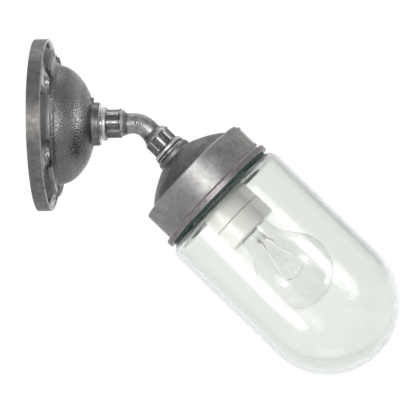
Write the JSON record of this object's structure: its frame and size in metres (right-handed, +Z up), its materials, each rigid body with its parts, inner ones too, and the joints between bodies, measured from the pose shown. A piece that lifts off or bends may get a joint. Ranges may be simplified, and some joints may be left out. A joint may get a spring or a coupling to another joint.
{
  "type": "wall light",
  "caption": "Outdoor wall light: a domed cast wall rose, a pipe bend as its arm, and a cast cap that holds a lampholder, a clear bulb and a screw-in glass jar.",
  "frame": {"origin": "middle of the wall rose's back face, on the wall plane", "axes": "+X straight out from the wall, +Z up the wall; the lamp axis lies in the XZ plane and points 45 degrees down from +X"},
  "size_m": [0.2773, 0.133, 0.2625],
  "materials": {
    "rose_casting": "raw casting with a fine hammered skin, rim brushed",
    "cap_casting": "raw casting, brushed and half polished",
    "galvanised_iron": "bright galvanised, dark in the recesses",
    "plated_steel": "zinc plated",
    "dark_steel": "blackened",
    "block_plastic": "satin",
    "brass": "bright",
    "earth_sleeve": "satin, green and yellow",
    "brown_sleeve": "satin",
    "blue_sleeve": "satin",
    "black_rubber": "matt",
    "porcelain": "glazed cream white",
    "jar_glass": "clear with a green tint at its edges",
    "solder": "dull",
    "black_glass": "glossy black",
    "bulb_brass": "nickel plated",
    "bulb_glass": "clear",
    "lead_wire": "dull",
    "tungsten": "dull"
  },
  "bodies": {
    "fixture": {"rose": "rose_casting", "cap": "cap_casting", "elbow": "galvanised_iron", "rose_nipple": "plated_steel", "rose_lock_washer": "plated_steel", "rose_locknut": "plated_steel", "terminal_screws": "plated_steel", "terminal_fixings": "plated_steel", "earth_washer": "plated_steel", "lamp_nipple": "plated_steel", "cap_locknut": "plated_steel", "holder_bracket": "plated_steel", "holder_screws": "plated_steel", "arm_grub_screw": "dark_steel", "terminal_block": "block_plastic", "terminal_tubes": "brass", "earth_screw": "brass", "earth_tag": "brass", "holder_shell": "brass", "holder_contact": "brass", "earth_wire": "earth_sleeve", "live_wire": "brown_sleeve", "neutral_wire": "blue_sleeve", "neck_washer": "black_rubber", "holder_base": "porcelain", "holder_ring": "porcelain"},
    "seal": {"jar_seal": "black_rubber"},
    "jar": {"glass_jar": "jar_glass"},
    "bulb_foot": {"bulb_contact": "solder"},
    "bulb": {"bulb_insulator": "black_glass", "bulb_cap": "bulb_brass", "bulb_envelope": "bulb_glass", "bulb_stem": "bulb_glass", "bulb_leads": "lead_wire", "bulb_supports": "lead_wire", "filament": "tungsten"}
  },
  "joints": [
    {"name": "jar_advance", "type": "slide", "parent": "fixture", "child": "seal", "axis": [0.7071, 0, -0.7071], "range_m": [0, 0.0121]},
    {"name": "jar_turn", "type": "hinge", "parent": "seal", "child": "jar", "pos_m": [0.10251, 0, -0.02121], "axis": [0.7071, 0, -0.7071], "range_deg": [0, 1080]},
    {"name": "bulb_advance", "type": "slide", "parent": "fixture", "child": "bulb_foot", "axis": [0.7071, 0, -0.7071], "range_m": [0, 0.0146]},
    {"name": "bulb_turn", "type": "hinge", "parent": "bulb_foot", "child": "bulb", "pos_m": [0.10251, 0, -0.02121], "axis": [0.7071, 0, -0.7071], "range_deg": [0, 1440]}
  ],
  "couplings": [
    {"joint": "jar_advance", "follows": "jar_turn", "m_per_rad": 0.00063662},
    {"joint": "bulb_advance", "follows": "bulb_turn", "m_per_rad": 0.00057757}
  ]
}
